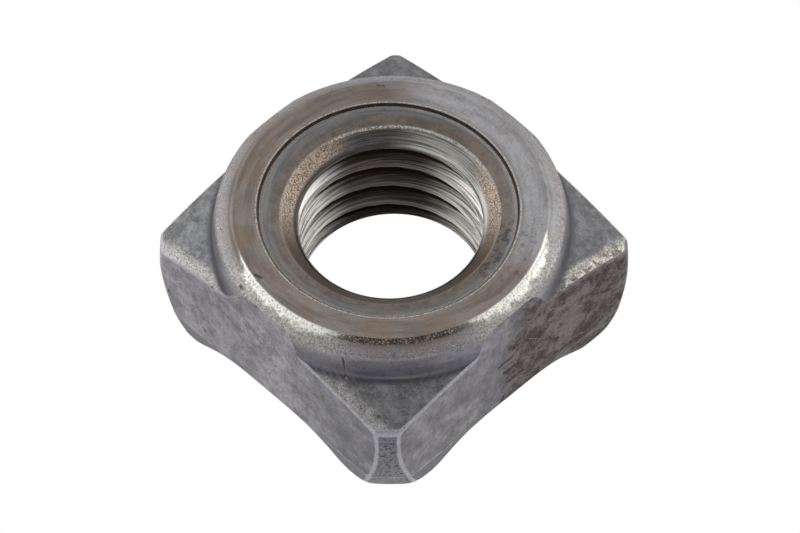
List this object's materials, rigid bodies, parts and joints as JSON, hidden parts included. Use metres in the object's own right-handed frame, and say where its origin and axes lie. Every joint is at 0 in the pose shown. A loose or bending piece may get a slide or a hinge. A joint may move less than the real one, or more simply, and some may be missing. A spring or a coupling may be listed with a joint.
{
  "type": "square weld nut",
  "caption": "Square steel weld nut with a round boss, sloping corners, a threaded bore and a weld foot under each corner.",
  "frame": {"origin": "on the bore axis, in the plane of the four weld feet", "axes": "+Z along the bore axis, from the feet to the boss; X and Y square to the flats"},
  "size_m": [0.019, 0.019, 0.0095],
  "materials": {
    "steel": "dull oxide grey, worn bright on the edges, some rust"
  },
  "bodies": {
    "root": {"square_weld_nut": "steel"}
  },
  "joints": []
}
